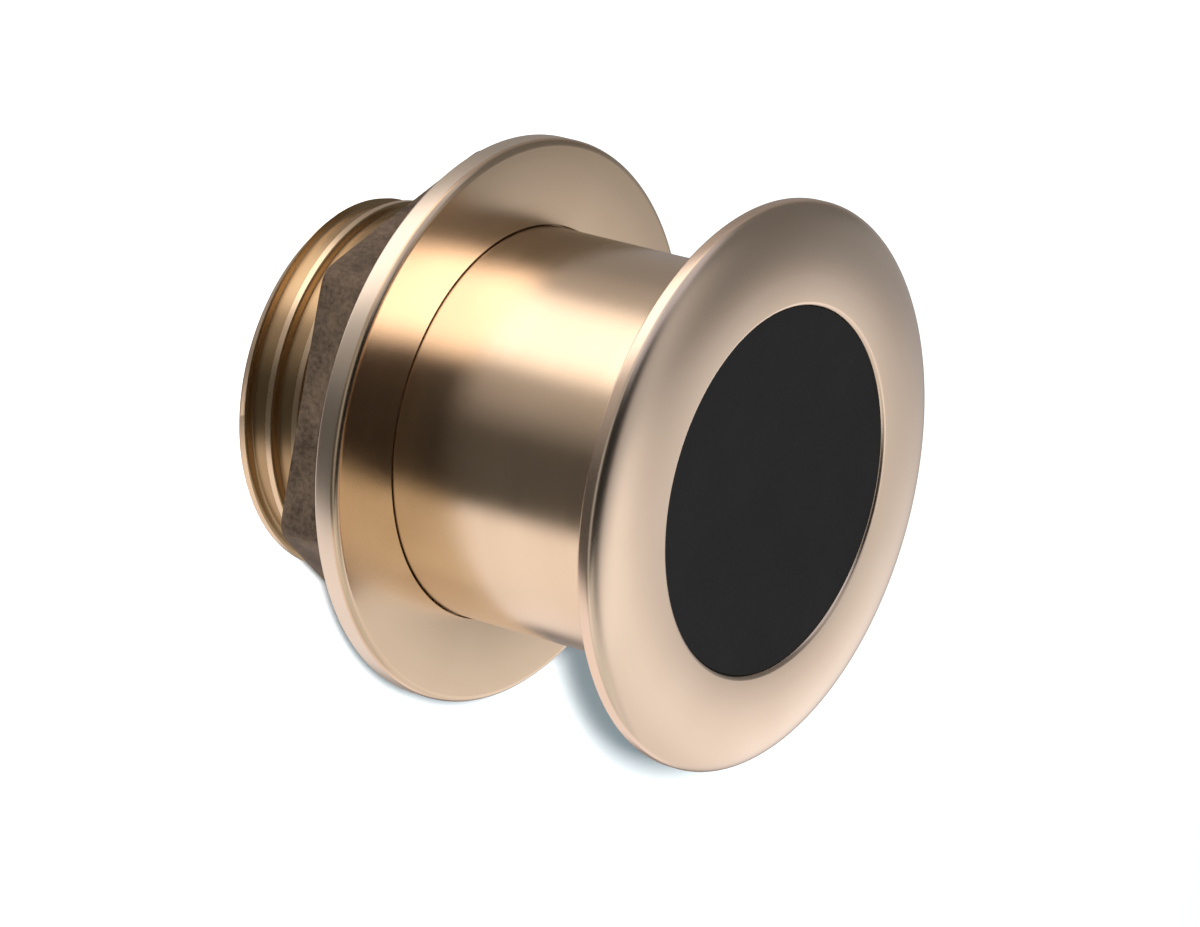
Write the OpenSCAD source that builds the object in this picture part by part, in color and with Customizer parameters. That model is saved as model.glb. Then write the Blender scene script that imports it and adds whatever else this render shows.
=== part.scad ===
// Low-profile through-hull sonar transducer, standing on the rear end of its stem.
// The stem's axis is +Z and the acoustic face looks up.

/* [Housing] */
// Diameter of the outer flange
flange_d = 79; // [74:0.5:90]
// Height of the flange's straight rim
rim_h = 1.5; // [1:0.1:3]
// Height of the domed shoulder from the rim to the face
shoulder_h = 3; // [2:0.1:4]
// Wall of the smooth stem around its cavity
stem_wall = 4.3; // [4:0.1:7]
// Length of the smooth stem between the flange and the seated nut
clamp_gap = 39.5; // [34:0.5:60]
// Radius of the fillet where the stem meets the flange
root_fillet = 1.5; // [0.5:0.1:2]
// Length of the thread that shows behind the seated nut
tail_l = 15; // [12:0.5:20]
// Wall of the stem inside the roots of its thread
tail_wall = 3; // [2:0.1:4]

/* [Acoustic face] */
// Width of the ledge that the window's edge sits on
window_ledge = 2; // [1.5:0.1:3]
// Depth of the window's wide front plate
window_plate = 3; // [2:0.1:3.5]
// Thickness of the window over the ceramic at its thinnest place
window_skin = 2.4; // [2:0.1:4]
// Depth of the window below the rim of its opening
window_recess = 0.4; // [0.2:0.1:0.6]
// Width and depth of the bright bevel around the window
window_bevel = 0.7; // [0.4:0.1:1.2]

/* [Thread] */
// Step from the smooth stem down to the thread's crests
thread_step = 1.1; // [0.6:0.05:1.4]
// Thread pitch
pitch = 4.6; // [4:0.1:5]
// Width of the thread's flat crest
crest_w = 0.9; // [0.6:0.1:1.2]
// Depth of one thread groove
groove_depth = 1.1; // [0.8:0.1:1.4]
// Radial play between the nut and the stem
nut_play = 0.35; // [0.3:0.05:0.6]

/* [Hull nut] */
// Diameter of the nut's bearing disc
nut_disc_d = 80; // [76:0.5:90]
// Thickness of the nut's bearing disc
nut_disc_t = 3.8; // [3:0.1:6]
// Distance across the flats of the hexagon
nut_across_flats = 63; // [62:0.5:66]
// Height of the hexagon behind the disc
nut_hex_h = 10; // [8:0.5:12]
// Width of the chamfer on the front edge of the disc
nut_edge = 1; // [0.5:0.1:1.5]
// Width of the turned chamfer on the hexagon's rear corners
nut_corner_chamfer = 0.6; // [0.4:0.1:2]
// Direction that one flat of the hexagon faces
nut_turn = -81; // [-90:1:90]
// Depth of the counterbore that takes the stem's shoulder
counterbore_l = 2; // [1.5:0.1:2.5]

/* [Ceramic element] */
// Diameter of the ceramic disc, which sets the size of the stem around it
ceramic_d = 38; // [36:0.5:42]
// Thickness of the ceramic disc
ceramic_t = 9; // [6:0.5:9]
// Tilt of the ceramic disc from the face
ceramic_tilt = 12; // [0:1:12]
// Thickness of each silver electrode
electrode_t = 0.3; // [0.2:0.05:0.5]
// Thickness of the cork ring around the ceramic
cork_ring_t = 1.6; // [1:0.1:2.5]
// Room for the leads between the cork ring and the stem's wall
lead_room = 2.9; // [2.7:0.1:4]
// Thickness of the cork disc behind the ceramic
cork_back_t = 4; // [2:0.5:5]

/* [Wiring] */
// Diameter of the cable that the gland takes
cable_d = 8; // [6:0.1:9]
// Outer diameter of the cable gland
gland_d = 18; // [15:0.5:22]
// Length of the cable gland
gland_l = 16; // [12:0.5:18]
// Depth of the rear potting below the end of the stem
rear_recess = 2; // [1:0.1:3]
// Diameter of each lead
lead_d = 1.2; // [0.8:0.1:1.2]
// Diameter of each solder bead
bead_d = 3; // [2.4:0.1:3.2]
// Diameter of the temperature sensor
sensor_d = 4; // [3:0.1:4.5]
// Length of the temperature sensor
sensor_l = 4.5; // [4:0.1:5]

/* [Hidden] */
$fn = 96;
eps = 0.01;
// Glue line between pieces that are potted together
seam = 0.05;

bronze = "#c9a27a";
rubber_black = "#2a2a2a";
ceramic_cream = "#e4dcc4";
silver = "#c8c8c8";
cork = "#a9794b";
resin = "#3a3430";
copper = "#b5653a";

// Heights along the axis, from the rear end of the stem
hex_z = tail_l;
disc_z = hex_z + nut_hex_h;
nut_face_z = disc_z + nut_disc_t;
flange_z = nut_face_z + clamp_gap;
rim_z = flange_z + rim_h;
face_z = rim_z + shoulder_h;
window_z = face_z - window_recess;
plate_z = face_z - window_plate;

// Radii about the axis
flange_r = flange_d / 2;
cavity_r = ceramic_d / 2 + cork_ring_t + lead_room;
window_r = cavity_r + window_ledge;
stem_r = cavity_r + stem_wall;
thread_r = stem_r - thread_step;
tail_bore_r = thread_r - groove_depth - tail_wall;
nut_bore_r = thread_r + nut_play;
nut_flat_r = nut_across_flats / 2;
nut_corner_r = nut_flat_r / cos(30);

// The stem's shoulder ends inside the nut's counterbore
counterbore_gap = 0.3;
shoulder_gap = 0.6;
shoulder_z = nut_face_z - counterbore_l + shoulder_gap;
// The stem's bore is narrower behind this height, inside the thread
tail_bore_z = nut_face_z + stem_wall;

edge_break = 0.4;
end_chamfer = 1.2;
flank_angle = 30;
// Half the width of a groove at its mouth and at its flat root
groove_mouth = (pitch - crest_w) / 2;
groove_root = groove_mouth - groove_depth * tan(flank_angle);
first_groove_z = end_chamfer + pitch / 2;
groove_count = floor((shoulder_z - first_groove_z - pitch / 2) / pitch) + 1;
dome_share = 0.22;
arc_steps = 12;

// Ceramic stack, measured from the middle of the ceramic along its own tilted axis
stack_r = ceramic_d / 2 + cork_ring_t + 2 * seam;
stack_top = ceramic_t / 2 + electrode_t;
stack_bottom = stack_top + cork_back_t + seam;
stack_z = window_z - window_skin - stack_top * cos(ceramic_tilt) - stack_r * sin(ceramic_tilt);
split_z = stack_z - 2;

gland_z = rear_recess / 2;
gland_top = gland_z + gland_l;
// Where the leads start above the gland, spread and rise before they fan out
lead_start_z = gland_top + 1;
lead_spread = 3;
lead_rise = 4;
lead_bend = 8;
lead_r = cavity_r - lead_d;
lead_turn_z = stack_z - stack_bottom - lead_bend;
sensor_turn = 40;
sensor_r = 13;
sensor_z = window_z - window_skin - sensor_l;

function polar(r, turn, z) = [r * cos(turn), r * sin(turn), z];

// Height of the ceramic's front at the distance y along the direction of its tilt
function front_z(y) = stack_z + stack_top / cos(ceramic_tilt) - y * tan(ceramic_tilt);

// Quarter ellipse from the flat face down to the rim
function dome_points() = [
    for (i = [0:arc_steps])
        let (a = 90 * i / arc_steps, inner = window_r + dome_share * (flange_r - window_r))
        [inner + (flange_r - inner) * sin(a), rim_z + shoulder_h * cos(a)]
];

// Concave fillet from the back of the flange into the stem
function root_points() = [
    for (i = [0:arc_steps])
        let (a = 90 * i / arc_steps)
        [stem_r + root_fillet * (1 - sin(a)), flange_z - root_fillet * (1 - cos(a))]
];

// One groove of the thread, read from the front towards the rear
function groove_points(z) = [
    [thread_r, z + groove_mouth],
    [thread_r - groove_depth, z + groove_root],
    [thread_r - groove_depth, z - groove_root],
    [thread_r, z - groove_mouth],
];

function thread_points() = [
    for (i = [groove_count - 1:-1:0])
        each groove_points(first_groove_z + i * pitch)
];

function housing_outline() = concat(
    [[window_r + window_bevel, face_z]],
    dome_points(),
    [[flange_r, flange_z + edge_break], [flange_r - edge_break, flange_z]],
    root_points(),
    [[stem_r, shoulder_z + edge_break], [stem_r - edge_break, shoulder_z], [thread_r, shoulder_z]],
    thread_points(),
    [
        [thread_r, end_chamfer], [thread_r - end_chamfer, 0],
        [tail_bore_r, 0], [tail_bore_r, tail_bore_z], [cavity_r, tail_bore_z],
        [cavity_r, plate_z], [window_r, plate_z],
        [window_r, face_z - window_bevel],
    ]
);

// Places a child in the ceramic's own tilted frame
module tilted() {
    translate([0, 0, stack_z]) rotate([-ceramic_tilt, 0, 0]) children();
}

module disc(r, low, high) {
    translate([0, 0, low]) cylinder(r = r, h = high - low);
}

module ring(outer, inner, low, high) {
    difference() {
        disc(outer, low, high);
        disc(inner, low - 1, high + 1);
    }
}

// Round wire through the points, with a slightly larger bend at each corner
module wire(points, d) {
    for (i = [0:len(points) - 2]) {
        step = points[i + 1] - points[i];
        span = norm(step);
        translate(points[i])
            rotate([0, acos(step.z / span), atan2(step.y, step.x)])
                cylinder(d = d, h = span, $fn = 32);
    }
    for (i = [1:len(points) - 2]) translate(points[i]) sphere(d = d * 1.15, $fn = 32);
}

// Space taken by the ceramic, its electrodes and its cork
module stack_space() {
    tilted() disc(stack_r + seam, -stack_bottom - seam, stack_top + seam);
}

front_lead_end = [0, ceramic_d / 2 - bead_d, front_z(ceramic_d / 2 - bead_d)];
rear_lead_at = [-4, 0];

function front_lead_path() = [
    polar(lead_spread, 90, lead_start_z),
    polar(lead_spread, 90, lead_start_z + lead_rise),
    [0, lead_r, lead_turn_z],
    [0, lead_r, front_lead_end.z + 1.4],
    front_lead_end + [0, 0, 0.8],
];

function sensor_lead_path() = [
    polar(lead_spread, sensor_turn, lead_start_z),
    polar(lead_spread, sensor_turn, lead_start_z + lead_rise),
    polar(lead_r, sensor_turn, lead_turn_z),
    polar(lead_r, sensor_turn, sensor_z + sensor_l / 2),
    polar(sensor_r + sensor_d / 2 + seam, sensor_turn, sensor_z + sensor_l / 2),
];

module front_lead_shape(extra) {
    wire(front_lead_path(), lead_d + 2 * extra);
    translate(front_lead_end) sphere(d = bead_d + 2 * extra, $fn = 48);
}

module rear_lead_shape(extra) {
    translate([rear_lead_at.x, rear_lead_at.y, lead_start_z])
        cylinder(d = lead_d + 2 * extra, h = stack_z - lead_start_z, $fn = 32);
}

module sensor_lead_shape(extra) {
    wire(sensor_lead_path(), lead_d + 2 * extra);
}

module sensor_space(extra) {
    translate(polar(sensor_r, sensor_turn, sensor_z - extra))
        cylinder(d = sensor_d + 2 * extra, h = sensor_l + 2 * extra, $fn = 48);
}

module housing() {
    color(bronze) rotate_extrude() polygon(housing_outline());
}

module hull_nut() {
    color(bronze) difference() {
        union() {
            rotate_extrude() polygon([
                [0, disc_z], [nut_disc_d / 2 - edge_break, disc_z],
                [nut_disc_d / 2, disc_z + edge_break], [nut_disc_d / 2, nut_face_z - nut_edge],
                [nut_disc_d / 2 - nut_edge, nut_face_z], [0, nut_face_z],
            ]);
            intersection() {
                translate([0, 0, hex_z]) rotate(nut_turn + 30)
                    cylinder(r = nut_corner_r, h = nut_hex_h + 1, $fn = 6);
                rotate_extrude() polygon([
                    [0, hex_z], [nut_corner_r - nut_corner_chamfer, hex_z],
                    [nut_corner_r + 1, hex_z + nut_corner_chamfer + 1],
                    [nut_corner_r + 1, disc_z + 1], [0, disc_z + 1],
                ]);
            }
        }
        disc(nut_bore_r, hex_z - 1, nut_face_z + 1);
        disc(stem_r + counterbore_gap, nut_face_z - counterbore_l, nut_face_z + 1);
    }
}

module acoustic_window() {
    color(rubber_black) difference() {
        union() {
            disc(cavity_r - seam, split_z, plate_z + seam + eps);
            disc(window_r - seam, plate_z + seam, window_z);
        }
        stack_space();
        front_lead_shape(seam);
        sensor_lead_shape(seam);
        sensor_space(seam);
    }
}

module ceramic_disc() {
    color(ceramic_cream) tilted() disc(ceramic_d / 2, -ceramic_t / 2, ceramic_t / 2);
}

module front_electrode() {
    color(silver) tilted() disc(ceramic_d / 2 - 1, ceramic_t / 2, stack_top);
}

module rear_electrode() {
    color(silver) tilted() disc(ceramic_d / 2 - 1, -stack_top, -ceramic_t / 2);
}

module cork_ring() {
    color(cork) tilted() ring(stack_r, ceramic_d / 2 + seam, -stack_top, stack_top);
}

module cork_backing() {
    color(cork) difference() {
        tilted() disc(stack_r, -stack_bottom, -stack_top - seam);
        rear_lead_shape(seam);
    }
}

module temperature_sensor() {
    color(resin) sensor_space(0);
}

module front_lead() {
    color(copper) difference() {
        front_lead_shape(0);
        tilted() disc(stack_r + seam, 0, stack_top + seam);
    }
}

module rear_lead() {
    color(copper) difference() {
        rear_lead_shape(0);
        tilted() disc(stack_r, -stack_top - seam, stack_top);
    }
}

module sensor_lead() {
    color(copper) difference() {
        sensor_lead_shape(0);
        sensor_space(seam);
    }
}

module potting() {
    color(resin) difference() {
        union() {
            disc(tail_bore_r - seam, rear_recess, tail_bore_z + seam + eps);
            disc(cavity_r - seam, tail_bore_z + seam, split_z - seam);
        }
        stack_space();
        disc(gland_d / 2 + seam, rear_recess - 1, gland_top + seam);
        front_lead_shape(seam);
        rear_lead_shape(seam);
        sensor_lead_shape(seam);
    }
}

module cable_gland() {
    color(rubber_black) ring(gland_d / 2, cable_d / 2, gland_z, gland_top);
}

housing();
hull_nut();
acoustic_window();
ceramic_disc();
front_electrode();
rear_electrode();
cork_ring();
cork_backing();
temperature_sensor();
front_lead();
rear_lead();
sensor_lead();
potting();
cable_gland();
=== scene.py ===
import math

import bmesh
import bpy
from mathutils import Matrix, Vector


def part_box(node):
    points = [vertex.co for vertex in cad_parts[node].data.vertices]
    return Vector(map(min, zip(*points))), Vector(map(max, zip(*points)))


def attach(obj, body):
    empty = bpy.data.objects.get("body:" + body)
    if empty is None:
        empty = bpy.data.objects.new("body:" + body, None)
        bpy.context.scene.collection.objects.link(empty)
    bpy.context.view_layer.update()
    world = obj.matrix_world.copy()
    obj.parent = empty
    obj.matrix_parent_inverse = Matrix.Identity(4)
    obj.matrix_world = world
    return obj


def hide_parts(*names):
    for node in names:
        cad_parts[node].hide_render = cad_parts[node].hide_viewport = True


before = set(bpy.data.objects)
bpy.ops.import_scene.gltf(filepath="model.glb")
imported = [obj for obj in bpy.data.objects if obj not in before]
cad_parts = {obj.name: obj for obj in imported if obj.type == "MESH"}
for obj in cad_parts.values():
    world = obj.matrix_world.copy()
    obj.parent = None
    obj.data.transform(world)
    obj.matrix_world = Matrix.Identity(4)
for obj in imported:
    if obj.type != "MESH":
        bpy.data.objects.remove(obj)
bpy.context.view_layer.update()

MM = 0.001
FULL_TURN = 2 * math.pi

# Sizes read from the frame
housing_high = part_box("housing")[1]
nut_low, nut_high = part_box("hull_nut")
FLANGE_RADIUS = housing_high.x
FACE_LEVEL = housing_high.z
NUT_DISC_RADIUS = nut_high.x
NUT_FACE_LEVEL = nut_high.z
HEX_LEVEL = nut_low.z
WINDOW_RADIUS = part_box("acoustic_window")[1].x

# Sizes of the housing
DOME_HEIGHT = 3 * MM
DOME_SHARE = 0.22
RIM_HEIGHT = 1.5 * MM
STEM_RADIUS = 27.8 * MM
CAVITY_RADIUS = 23.5 * MM
TAIL_BORE_RADIUS = 22.6 * MM
TAIL_BORE_LEVEL = NUT_FACE_LEVEL + 4.3 * MM
WINDOW_PLATE = 3 * MM
WINDOW_BEVEL = 0.7 * MM
SEAM = 0.05 * MM
ROOT_FILLET = 1.5 * MM
EDGE = 0.4 * MM
RIM_LEVEL = FACE_LEVEL - DOME_HEIGHT
FLANGE_LEVEL = RIM_LEVEL - RIM_HEIGHT

# Sizes of the thread; its start is a share of a turn
THREAD_RADIUS = 26.7 * MM
THREAD_START = 0.25
PITCH = 4.6 * MM
CREST_WIDTH = 0.9 * MM
GROOVE_DEPTH = 1.1 * MM
FLANK_ANGLE = math.radians(30)
FLANK_RUN = GROOVE_DEPTH * math.tan(FLANK_ANGLE)
END_CHAMFER = 1.2 * MM
SHOULDER_LEVEL = NUT_FACE_LEVEL - 1.4 * MM
RUNOUT_LEVEL = SHOULDER_LEVEL - 1.2 * MM
RUNOUT_LENGTH = 1.5 * MM

# Sizes of the hull nut
NUT_DISC_THICKNESS = 3.8 * MM
NUT_EDGE = 1 * MM
HEX_SECTOR = math.radians(60)
HEX_TURN = math.radians(-81)
HEX_FLAT_RADIUS = 31.5 * MM
HEX_CORNER_RADIUS = HEX_FLAT_RADIUS / math.cos(HEX_SECTOR / 2)
HEX_CHAMFER = 0.6 * MM
NUT_BORE_RADIUS = 27.05 * MM
COUNTERBORE_RADIUS = 27.98 * MM
COUNTERBORE_DEPTH = 2 * MM
COUNTERBORE_EDGE = 0.12 * MM
CAST_FILLET = 1 * MM
CORNER_WEAR = 0.35 * MM
CORNER_SHARPNESS = 90
DISC_LEVEL = NUT_FACE_LEVEL - NUT_DISC_THICKNESS

# Fineness of the skins
SEGMENTS = 360
ARC_STEPS = 8
DOME_STEPS = 24
FLANK_STEPS = 5
FLAT_STEPS = 6
CHAMFER_STEPS = 8
WELD = 0.0005 * MM
SHARP_ANGLE = math.radians(32)


def arc(centre, radii, start, end, steps=ARC_STEPS):
    """Points of (radius, height) along an elliptical arc, with angles in degrees."""
    points = []
    for step in range(steps + 1):
        turn = math.radians(start + (end - start) * step / steps)
        radius = centre[0] + radii[0] * math.cos(turn)
        height = centre[1] + radii[1] * math.sin(turn)
        points.append((radius, height))
    return points


def stretch(first, last, steps):
    """Evenly spaced values from first to last."""
    return [first + (last - first) * step / steps for step in range(steps + 1)]


def smooth(value):
    """Smooth step from 0 to 1."""
    held = min(1.0, max(0.0, value))
    return held * held * (3 - 2 * held)


def on_rows(points, material):
    """Rows of a skin through points of (radius, height), all in one material slot."""
    return [(radius, height, material) for radius, height in points]


def turned_skin(name, rows, materials, body, node):
    """Closed skin through rows of (radius, height, material) round the axis.

    Radius and height may depend on the angle. The material is that of the faces up to the next row.
    """
    mesh_data = bmesh.new()
    grid = []
    for radius, height, _ in rows:
        line = []
        for step in range(SEGMENTS + 1):
            angle = FULL_TURN * step / SEGMENTS
            level = height(angle) if callable(height) else height
            reach = radius(angle, level) if callable(radius) else radius
            line.append(mesh_data.verts.new((reach * math.cos(angle), reach * math.sin(angle), level)))
        grid.append(line)
    for row, line in enumerate(grid):
        following = grid[(row + 1) % len(grid)]
        for step in range(SEGMENTS):
            corners = (line[step], following[step], following[step + 1], line[step + 1])
            mesh_data.faces.new(corners).material_index = rows[row][2]
    bmesh.ops.remove_doubles(mesh_data, verts=mesh_data.verts, dist=WELD)
    mesh = bpy.data.meshes.new(name)
    mesh_data.to_mesh(mesh)
    mesh_data.free()
    for material in materials:
        mesh.materials.append(material)
    mesh.shade_smooth()
    mesh.set_sharp_from_angle(angle=SHARP_ANGLE)
    piece = bpy.data.objects.new(name, mesh)
    bpy.context.scene.collection.objects.link(piece)
    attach(piece, body)
    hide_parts(node)


class Graph:
    """Short way to build the nodes of a material or a world."""

    def __init__(self, owner):
        owner.use_nodes = True
        self.owner = owner
        self.nodes = owner.node_tree.nodes
        self.links = owner.node_tree.links

    def add(self, kind, inputs=None, **settings):
        node = self.nodes.new(kind)
        for key, value in settings.items():
            setattr(node, key, value)
        for key, value in (inputs or {}).items():
            self.put(node.inputs[key], value)
        return node

    def put(self, socket, value):
        """Link a socket to another one, or set its value."""
        if isinstance(value, bpy.types.NodeSocket):
            self.links.new(value, socket)
        else:
            socket.default_value = value

    def set(self, **inputs):
        """Fill the surface shader's inputs and give back the material."""
        shader = self.nodes["Principled BSDF"]
        for key, value in inputs.items():
            self.put(shader.inputs[key.replace("_", " ")], value)
        return self.owner

    def math(self, operation, first, second=0.0):
        return self.add("ShaderNodeMath", {0: first, 1: second}, operation=operation).outputs[0]

    def vector(self, operation, *values, result="Vector"):
        inputs = dict(enumerate(values))
        return self.add("ShaderNodeVectorMath", inputs, operation=operation).outputs[result]

    def place(self):
        return self.add("ShaderNodeTexCoord").outputs["Object"]

    def lathe_place(self, around=0.0):
        """Radius and height as a texture place, so that patterns run round the axis."""
        x, y, z = self.add("ShaderNodeSeparateXYZ", {"Vector": self.place()}).outputs
        squares = self.math("ADD", self.math("MULTIPLY", x, x), self.math("MULTIPLY", y, y))
        radius = self.math("SQRT", squares)
        turn = self.math("MULTIPLY", self.math("ARCTAN2", y, x), around)
        return self.add("ShaderNodeCombineXYZ", {"X": radius, "Y": z, "Z": turn}).outputs[0]

    def noise(self, scale, place, detail=4.0, roughness=0.55):
        return self.add("ShaderNodeTexNoise", {
            "Vector": place, "Scale": scale, "Detail": detail, "Roughness": roughness,
        }).outputs["Fac"]

    def spread(self, value, source, target=(0.0, 1.0), kind="LINEAR"):
        """Map the range source to the range target, held at its ends."""
        return self.add("ShaderNodeMapRange", {
            "Value": value, "From Min": source[0], "From Max": source[1],
            "To Min": target[0], "To Max": target[1],
        }, interpolation_type=kind).outputs["Result"]

    def mix(self, factor, first, second):
        inputs = {"Factor": factor, "A": first, "B": second}
        return self.add("ShaderNodeMix", inputs, data_type="RGBA").outputs["Result"]

    def bump(self, height, strength, distance):
        return self.add("ShaderNodeBump", {
            "Height": height, "Strength": strength, "Distance": distance,
        }).outputs["Normal"]

    def blend(self, factor, first, second):
        return self.add("ShaderNodeMixShader", {0: factor, 1: first.outputs[0], 2: second.outputs[0]})


# Sizes of the surface patterns, in cycles per metre
FINE_RINGS = 2600
BROAD_RINGS = 420
TARNISH = 38
SAND_GRAIN = 1500
CASTING_PATCHES = 160
RESIN_GRAIN = 2200
RESIN_MOTTLE = 90
PAPER_GRAIN = 60

# Slow change of the broad rings round the axis, in metres for a radian
RING_DRIFT = 0.0006

# Parts of a noise's range that are spread over roughness or over two tones
GRAIN_RANGE = (0.3, 0.7)
MOTTLE_RANGE = (0.35, 0.7)
FLECK_RANGE = (0.4, 0.62)
WEAR_RANGE = (0.6, 1.4)
CASTING_RANGE = (0.75, 1.3)

# Steps of roughness to both sides of the mean
RESIN_STEP = 0.06
GRAINED_STEP = 0.08

# Heights of the relief that bump stands for
RING_RELIEF = 0.1 * MM
SAND_RELIEF = 0.25 * MM
RESIN_RELIEF = 0.05 * MM
GRAINED_RELIEF = 0.1 * MM

# A quarter turn of the brushing, so that it runs round the axis
ROUND_THE_AXIS = 0.25


def bronze_finish(name, bright, dull, roughness, anisotropy, ring_bump):
    """Bronze off the lathe: fine rings round the axis, light patches of tarnish."""
    graph = Graph(bpy.data.materials.new(name))
    rings = graph.noise(FINE_RINGS, graph.lathe_place(), detail=2.0)
    broad_rings = graph.noise(BROAD_RINGS, graph.lathe_place(around=RING_DRIFT), detail=2.0)
    patches = graph.noise(TARNISH, graph.place(), detail=2.0)
    wear = graph.math("ADD", broad_rings, patches)
    return graph.set(
        Base_Color=graph.mix(graph.spread(patches, MOTTLE_RANGE), bright, dull),
        Metallic=1.0,
        Roughness=graph.spread(wear, WEAR_RANGE, roughness),
        Anisotropic=anisotropy,
        Anisotropic_Rotation=ROUND_THE_AXIS,
        Tangent=graph.add("ShaderNodeTangent", direction_type="RADIAL", axis="Z").outputs[0],
        Normal=graph.bump(rings, ring_bump, RING_RELIEF),
    )


def cast_bronze():
    """Sand-cast bronze, brown and granular."""
    graph = Graph(bpy.data.materials.new("cast_bronze"))
    grain = graph.noise(SAND_GRAIN, graph.place(), detail=6.0, roughness=0.65)
    patches = graph.noise(CASTING_PATCHES, graph.place())
    tone = graph.spread(graph.math("ADD", grain, patches), CASTING_RANGE)
    return graph.set(
        Base_Color=graph.mix(tone, (0.080, 0.056, 0.038, 1), (0.245, 0.178, 0.123, 1)),
        Metallic=0.85,
        Roughness=graph.spread(grain, GRAIN_RANGE, (0.5, 0.72)),
        Normal=graph.bump(grain, 0.55, SAND_RELIEF),
    )


def dark_resin(name, colour, fleck, roughness, gloss):
    """Cast or moulded black polymer with a faint mottle."""
    graph = Graph(bpy.data.materials.new(name))
    grain = graph.noise(RESIN_GRAIN, graph.place(), detail=3.0)
    mottle = graph.noise(RESIN_MOTTLE, graph.place())
    return graph.set(
        Base_Color=graph.mix(graph.spread(mottle, MOTTLE_RANGE), colour, fleck),
        Roughness=graph.spread(grain, GRAIN_RANGE, (roughness - RESIN_STEP, roughness + RESIN_STEP)),
        Specular_IOR_Level=gloss,
        Normal=graph.bump(grain, 0.08, RESIN_RELIEF),
    )


def grained(name, colour, fleck, scale, roughness, metallic=0.0, relief=0.2):
    """Material of the sealed inner pieces: two tones in a fine grain."""
    graph = Graph(bpy.data.materials.new(name))
    grain = graph.noise(scale, graph.place(), detail=5.0)
    return graph.set(
        Base_Color=graph.mix(graph.spread(grain, FLECK_RANGE), colour, fleck),
        Metallic=metallic,
        Roughness=graph.spread(grain, GRAIN_RANGE, (roughness - GRAINED_STEP, roughness + GRAINED_STEP)),
        Normal=graph.bump(grain, relief, GRAINED_RELIEF),
    )


# Material slots of the housing; the thread's grooves and flanks take a darker bronze, a painted shade
TURNED, SATIN, GROOVE_SHADE, CREST = 0, 1, 2, 3


def thread_radius(angle, height):
    """Radius of the right-hand thread, which starts on the side that faces -Y."""
    place = ((height - END_CHAMFER) / PITCH - angle / FULL_TURN - THREAD_START) % 1.0
    off_crest = min(place, 1 - place) * PITCH
    fade = smooth((RUNOUT_LEVEL - height) / RUNOUT_LENGTH)
    groove = GROOVE_DEPTH * fade * smooth((off_crest - CREST_WIDTH / 2) / FLANK_RUN)
    return min(THREAD_RADIUS - groove, THREAD_RADIUS - END_CHAMFER + height)


def helix_height(base):
    """Height of a row that climbs one pitch in a turn, held between the stem's end and the relief."""
    def height(angle):
        return min(RUNOUT_LEVEL, max(0.0, base + PITCH * angle / FULL_TURN))

    return height


def thread_rows():
    """Rows that follow the helix from the shoulder's relief down to the end of the stem."""
    half_crest = CREST_WIDTH / 2
    flank = stretch(half_crest, half_crest + FLANK_RUN, FLANK_STEPS)
    offsets = [PITCH - off for off in flank] + [PITCH / 2] + flank[::-1]
    first_crest = END_CHAMFER - (2 - THREAD_START) * PITCH
    turns = math.ceil((RUNOUT_LEVEL - first_crest) / PITCH)
    rows = []
    for turn in range(turns, -1, -1):
        for off in offsets:
            base = first_crest + turn * PITCH + off
            # Crests in the full bronze tone, grooves and flanks in the darker bronze of a painted shade
            material = CREST if off == half_crest else GROOVE_SHADE
            rows.append((thread_radius, helix_height(base), material))
    return rows


def build_housing(turned, satin, groove_shade, crest):
    """Housing from the window's lip over the dome, stem and thread, and back through its cavity."""
    dome_start = WINDOW_RADIUS + DOME_SHARE * (FLANGE_RADIUS - WINDOW_RADIUS)
    plate_level = FACE_LEVEL - WINDOW_PLATE
    lip = WINDOW_BEVEL - SEAM
    root = ROOT_FILLET
    front = arc((WINDOW_RADIUS + WINDOW_BEVEL, FACE_LEVEL - lip), (lip, lip), 180, 90)
    front += arc((dome_start, RIM_LEVEL), (FLANGE_RADIUS - dome_start, DOME_HEIGHT), 90, 0, DOME_STEPS)
    front += arc((FLANGE_RADIUS - EDGE, FLANGE_LEVEL + EDGE), (EDGE, EDGE), 0, -90)
    stem = arc((STEM_RADIUS + root, FLANGE_LEVEL - root), (root, root), 90, 180)
    stem += arc((STEM_RADIUS - EDGE, SHOULDER_LEVEL + EDGE), (EDGE, EDGE), 0, -90)
    stem += [(THREAD_RADIUS, SHOULDER_LEVEL)]
    bore = arc((TAIL_BORE_RADIUS + EDGE, EDGE), (EDGE, EDGE), -90, -180)
    bore += [(TAIL_BORE_RADIUS, TAIL_BORE_LEVEL), (CAVITY_RADIUS, TAIL_BORE_LEVEL)]
    bore += [(CAVITY_RADIUS, plate_level), (WINDOW_RADIUS + SEAM, plate_level)]
    rows = on_rows(front, SATIN) + on_rows(stem, TURNED) + thread_rows() + on_rows(bore, TURNED)
    materials = [turned, satin, groove_shade, crest]
    turned_skin("housing_turned", rows, materials, "transducer", "housing")


# Material slots of the nut, besides its turned one; the rim's slot holds a paler bronze, a painted sheen
CAST, RIM_SHEEN = 1, 2


def hex_radius(swell=0.0):
    """Radius of the nut's hexagon, with its worn corners and its turned rear chamfer."""
    corner = HEX_CORNER_RADIUS - CORNER_WEAR

    def radius(angle, height):
        off_flat = (angle - HEX_TURN + HEX_SECTOR / 2) % HEX_SECTOR - HEX_SECTOR / 2
        flat = HEX_FLAT_RADIUS / math.cos(off_flat)
        worn = (flat ** -CORNER_SHARPNESS + corner ** -CORNER_SHARPNESS) ** (-1 / CORNER_SHARPNESS)
        cone = HEX_CORNER_RADIUS - HEX_CHAMFER + height - HEX_LEVEL
        return min(worn, cone) + swell

    return radius


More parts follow.
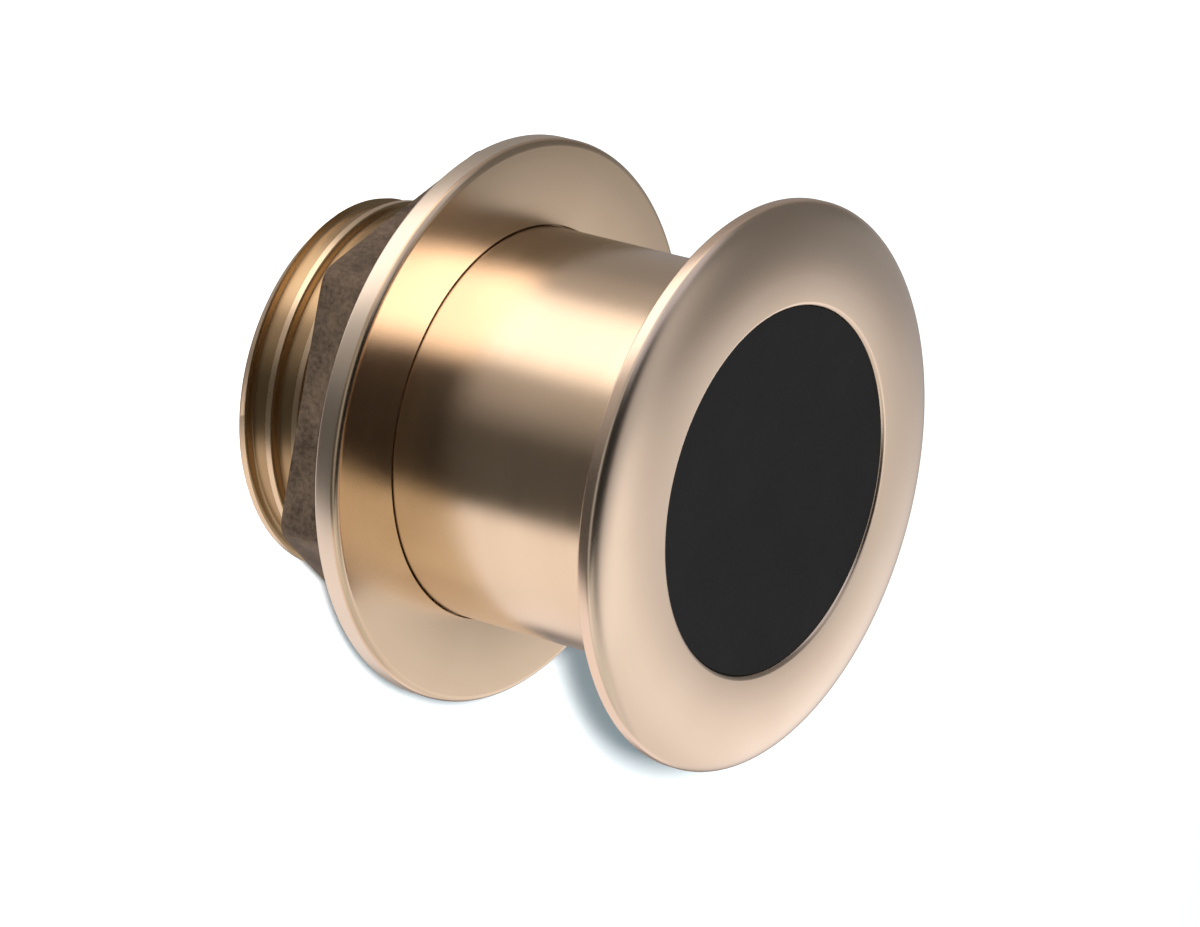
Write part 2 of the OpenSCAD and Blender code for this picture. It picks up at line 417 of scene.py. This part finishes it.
def hex_rows():
    """Rows of the cast hexagon, from its fillet under the disc to its rear edge."""
    rows = []
    for turn in stretch(0, math.pi / 2, ARC_STEPS):
        swell = CAST_FILLET * (1 - math.sin(turn))
        rows.append((hex_radius(swell), DISC_LEVEL - CAST_FILLET * (1 - math.cos(turn)), CAST))
    chamfer_top = HEX_LEVEL + 2 * HEX_CHAMFER
    heights = stretch(DISC_LEVEL - CAST_FILLET, chamfer_top, FLAT_STEPS)[1:]
    heights += stretch(chamfer_top, HEX_LEVEL, CHAMFER_STEPS)[1:]
    for height in heights:
        rows.append((hex_radius(), height, CAST))
    return rows


def build_nut(turned, cast, rim_sheen):
    """Nut from its counterbore's lip over the disc and the hexagon, and back through its bore."""
    lip = COUNTERBORE_EDGE
    counterbore_level = NUT_FACE_LEVEL - COUNTERBORE_DEPTH
    edge_centre = (NUT_DISC_RADIUS - NUT_EDGE, NUT_FACE_LEVEL - NUT_EDGE)
    front = arc((COUNTERBORE_RADIUS + lip, NUT_FACE_LEVEL - lip), (lip, lip), 180, 90)
    front += arc(edge_centre, (NUT_EDGE, NUT_EDGE), 90, 0)
    back = arc((NUT_DISC_RADIUS - EDGE, DISC_LEVEL + EDGE), (EDGE, EDGE), 0, -90)
    bore = arc((NUT_BORE_RADIUS + EDGE, HEX_LEVEL + EDGE), (EDGE, EDGE), -90, -180)
    bore += [(NUT_BORE_RADIUS, counterbore_level), (COUNTERBORE_RADIUS, counterbore_level)]
    # The rim's rows take the paler bronze of a painted sheen
    rows = on_rows(front[:-1], TURNED) + on_rows(front[-1:] + back[:-1], RIM_SHEEN)
    rows += on_rows(back[-1:], TURNED) + hex_rows() + on_rows(bore, TURNED)
    turned_skin("hull_nut_cast", rows, [turned, cast, rim_sheen], "nut", "hull_nut")


# Floor just below the part's end, so that the two faces don't meet
FLOOR_HALF = 4.0
FLOOR_LEVEL = -0.05 * MM
PAPER = (0.91, 0.93, 0.95, 1)
PAPER_FLECK = (0.93, 0.95, 0.96, 1)


def build_floor():
    """Plain paper floor, which stays out of the reflections."""
    mesh = bpy.data.meshes.new("floor")
    corners = [(-FLOOR_HALF, -FLOOR_HALF), (FLOOR_HALF, -FLOOR_HALF)]
    corners += [(FLOOR_HALF, FLOOR_HALF), (-FLOOR_HALF, FLOOR_HALF)]
    mesh.from_pydata([(x, y, FLOOR_LEVEL) for x, y in corners], [], [(0, 1, 2, 3)])
    floor = bpy.data.objects.new("floor", mesh)
    bpy.context.scene.collection.objects.link(floor)
    graph = Graph(bpy.data.materials.new("floor_paper"))
    grain = graph.noise(PAPER_GRAIN, graph.place(), detail=3.0)
    mesh.materials.append(graph.set(Base_Color=graph.mix(grain, PAPER, PAPER_FLECK), Roughness=0.9))
    floor.visible_glossy = False


# Camera that gives the photograph's ellipses: a long lens, rolled so that the stem lies across the picture
VIEW_TILT = math.radians(56.5)
VIEW_ROLL = math.radians(15)
VIEW_DISTANCE = 769 * MM
VIEW_RIGHT = 21.1 * MM
VIEW_DOWN = 3.1 * MM
VIEW_LEVEL = RIM_LEVEL - 0.5 * MM
LENS = 171.2
SENSOR_WIDTH = 36
NEAREST = 10 * MM

TOWARDS_VIEW = Vector((0, -math.sin(VIEW_TILT), math.cos(VIEW_TILT)))
ALONG_STEM = Vector((0, math.cos(VIEW_TILT), math.sin(VIEW_TILT)))
ACROSS_STEM = Vector((-1, 0, 0))
PICTURE_RIGHT = math.cos(VIEW_ROLL) * ALONG_STEM + math.sin(VIEW_ROLL) * ACROSS_STEM
PICTURE_UP = math.cos(VIEW_ROLL) * ACROSS_STEM - math.sin(VIEW_ROLL) * ALONG_STEM


def build_camera():
    place = Vector((0, 0, VIEW_LEVEL)) - VIEW_RIGHT * PICTURE_RIGHT + VIEW_DOWN * PICTURE_UP
    place += VIEW_DISTANCE * TOWARDS_VIEW
    data = bpy.data.cameras.new("camera")
    data.lens = LENS
    data.sensor_width = SENSOR_WIDTH
    data.clip_start = NEAREST
    camera = bpy.data.objects.new("camera", data)
    bpy.context.scene.collection.objects.link(camera)
    turned = Matrix((PICTURE_RIGHT, PICTURE_UP, TOWARDS_VIEW)).transposed().to_4x4()
    camera.matrix_world = Matrix.Translation(place) @ turned
    bpy.context.scene.camera = camera


KEY_DISTANCE = 1.6
KEY_SIZE = 0.06
KEY_POWER = 57
KEY_RIGHT = math.radians(2.3)
KEY_UP = math.radians(1.4)


def build_key():
    """Frontal light just beside the lens, which leaves only a narrow shadow."""
    data = bpy.data.lights.new("key", "AREA")
    data.size = KEY_SIZE
    data.energy = KEY_POWER
    key = bpy.data.objects.new("key", data)
    aim = TOWARDS_VIEW + math.tan(KEY_RIGHT) * PICTURE_RIGHT + math.tan(KEY_UP) * PICTURE_UP
    key.location = Vector((0, 0, NUT_FACE_LEVEL)) + KEY_DISTANCE * aim
    key.rotation_euler = aim.to_track_quat("Z", "Y").to_euler()
    key.visible_glossy = False
    bpy.context.scene.collection.objects.link(key)


# Soft strips of the studio, in degrees: turn from -Y towards +X, half width of the core and of the whole
# strip, lower end, upper end, softness of the ends; then the strength in a first and in a second
# reflection, and the colour
STRIPS = [
    # Below the horizon, seen in the upright stem
    (-58, 5, 34, -85, -2, 12, 1.35, 1.35, (1.08, 1.0, 1.0)),
    (-52, 0, 66, -85, -2, 12, 0.42, 0.42, (1.10, 1.0, 1.0)),
    (100, 36, 51, -85, -2, 12, 0.92, 0.92, (1.10, 1.0, 1.02)),
    (-150, 45, 70, -85, -2, 12, 0.28, 0.28, (1.08, 1.0, 1.0)),
    (20, 60, 100, -85, -2, 12, 0.07, 0.07, (1.08, 1.0, 0.95)),
    # Above it, seen in the faces that look up and, by way of them, in the stem
    (-62, 14, 42, 2, 55, 12, 0.60, 3.5, (0.98, 1.0, 1.20)),
    (84, 22, 36, 2, 55, 12, 0.75, 0.95, (1.0, 1.0, 1.0)),
    (148, 18, 44, -5, 68, 14, 0.87, 0.87, (1.03, 1.0, 1.03)),
    (180, 8, 30, -10, 26, 14, 0.22, 0.22, (0.92, 1.0, 1.15)),
    (-140, 40, 80, 0, 62, 14, 0.16, 0.16, (1.0, 1.0, 1.04)),
    (180, 60, 120, 56, 95, 12, 0.50, 0.50, (1.0, 1.0, 1.05)),
    (10, 30, 85, 2, 26, 8, 0.45, 0.0, (1.0, 1.0, 1.0)),
]
DIM = (0.012, 0.012, 0.012)
AMBIENT = (0.257, 0.319, 0.341, 1)
WHITE = (1, 1, 1, 1)

# Count of reflections that parts a first from a second one
SECOND_REFLECTION = 1.5


def studio_glow(graph, second):
    """Colour of all the strips in a ray's direction."""
    direction = graph.add("ShaderNodeTexCoord").outputs["Generated"]
    x, y, z = graph.add("ShaderNodeSeparateXYZ", {"Vector": direction}).outputs
    flat = graph.add("ShaderNodeCombineXYZ", {"X": x, "Y": y}).outputs[0]
    level = graph.vector("NORMALIZE", flat)
    height = graph.math("ARCSINE", z)
    glow = DIM
    for *degrees, once, twice, colour in STRIPS:
        turn, core, edge, low, high, soft = map(math.radians, degrees)
        middle = (math.sin(turn), -math.cos(turn), 0)
        across = graph.vector("DOT_PRODUCT", level, middle, result="Value")
        lit = graph.spread(across, (math.cos(edge), math.cos(core)), kind="SMOOTHSTEP")
        above = graph.spread(height, (low - soft, low + soft), kind="SMOOTHSTEP")
        below = graph.spread(height, (high - soft, high + soft), (1.0, 0.0), kind="SMOOTHSTEP")
        strength = graph.spread(second, (0.0, 1.0), (once, twice))
        for share in (above, below, strength):
            lit = graph.math("MULTIPLY", lit, share)
        glow = graph.vector("MULTIPLY_ADD", colour, lit, glow)
    return glow


def build_world():
    """Soft strips for the reflections, even light for the rest, and a white backdrop."""
    world = bpy.data.worlds.new("studio")
    graph = Graph(world)
    ray = graph.add("ShaderNodeLightPath").outputs
    second = graph.math("GREATER_THAN", ray["Glossy Depth"], SECOND_REFLECTION)
    ambient = graph.nodes["Background"]
    ambient.inputs["Color"].default_value = AMBIENT
    studio = graph.add("ShaderNodeBackground", {"Color": studio_glow(graph, second)})
    backdrop = graph.add("ShaderNodeBackground", {"Color": WHITE})
    lit = graph.blend(ray["Is Glossy Ray"], ambient, studio)
    seen = graph.blend(ray["Is Camera Ray"], lit, backdrop)
    graph.put(graph.nodes["World Output"].inputs["Surface"], seen.outputs[0])
    world.cycles.sampling_method = "NONE"
    bpy.context.scene.world = world


turned_bronze = bronze_finish(
    "turned_bronze", (0.82, 0.655, 0.46, 1), (0.77, 0.60, 0.415, 1),
    roughness=(0.19, 0.26), anisotropy=0.7, ring_bump=0.025)
satin_bronze = bronze_finish(
    "satin_bronze", (0.82, 0.65, 0.49, 1), (0.77, 0.60, 0.445, 1),
    roughness=(0.23, 0.268), anisotropy=0.4, ring_bump=0.012)
crest_bronze = bronze_finish(
    "crest_bronze", (0.80, 0.62, 0.41, 1), (0.73, 0.55, 0.35, 1),
    roughness=(0.24, 0.32), anisotropy=0.4, ring_bump=0.05)
# Darker bronze for the thread's grooves and flanks: a painted shade in the thread's hollows
groove_shaded_bronze = bronze_finish(
    "groove_shaded_bronze", (0.50, 0.35, 0.19, 1), (0.40, 0.275, 0.14, 1),
    roughness=(0.24, 0.32), anisotropy=0.4, ring_bump=0.06)
build_housing(turned_bronze, satin_bronze, groove_shaded_bronze, crest_bronze)

# The nut's bronze is darker than the housing's: a painted shade for the shade that the flange casts on the
# nut
nut_bronze = bronze_finish(
    "nut_bronze", (0.73, 0.56, 0.385, 1), (0.67, 0.50, 0.335, 1),
    roughness=(0.20, 0.268), anisotropy=0.7, ring_bump=0.025)
# Paler, greyer bronze for the nut's rim: a painted sheen on its edge; its rougher, less brushed finish is
# its own
sheen_painted_rim_bronze = bronze_finish(
    "sheen_painted_rim_bronze", (0.80, 0.69, 0.55, 1), (0.73, 0.62, 0.48, 1),
    roughness=(0.28, 0.36), anisotropy=0.2, ring_bump=0.02)
build_nut(nut_bronze, cast_bronze(), sheen_painted_rim_bronze)

window_urethane = dark_resin(
    "window_urethane", (0.0104, 0.0100, 0.0098, 1), (0.0120, 0.0116, 0.0114, 1), roughness=0.6, gloss=0.04)
potting_resin = dark_resin(
    "potting_resin", (0.030, 0.026, 0.022, 1), (0.042, 0.036, 0.030, 1), roughness=0.35, gloss=0.5)
gland_rubber = dark_resin(
    "gland_rubber", (0.014, 0.014, 0.014, 1), (0.02, 0.02, 0.02, 1), roughness=0.55, gloss=0.3)
sensor_dip = dark_resin(
    "sensor_dip", (0.02, 0.016, 0.014, 1), (0.035, 0.028, 0.022, 1), roughness=0.4, gloss=0.4)
ceramic = grained(
    "fired_ceramic", (0.74, 0.68, 0.54, 1), (0.68, 0.60, 0.46, 1), scale=900, roughness=0.55)
cork = grained(
    "pressed_cork", (0.46, 0.27, 0.13, 1), (0.20, 0.10, 0.045, 1), scale=520, roughness=0.85, relief=0.6)
silver = grained(
    "fired_silver", (0.76, 0.75, 0.73, 1), (0.66, 0.65, 0.62, 1), scale=1400, roughness=0.35, metallic=1.0)
copper = grained(
    "tinned_copper", (0.72, 0.38, 0.22, 1), (0.75, 0.62, 0.52, 1), scale=800, roughness=0.3, metallic=1.0)

FINISHES = {
    "acoustic_window": window_urethane,
    "potting": potting_resin,
    "cable_gland": gland_rubber,
    "temperature_sensor": sensor_dip,
    "ceramic_disc": ceramic,
    "front_electrode": silver,
    "rear_electrode": silver,
    "cork_ring": cork,
    "cork_backing": cork,
    "front_lead": copper,
    "rear_lead": copper,
    "sensor_lead": copper,
}
for name, finish in FINISHES.items():
    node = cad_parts[name]
    node.data.materials.clear()
    node.data.materials.append(finish)

build_floor()
build_camera()
build_key()
build_world()
bpy.context.scene.view_settings.view_transform = "Standard"
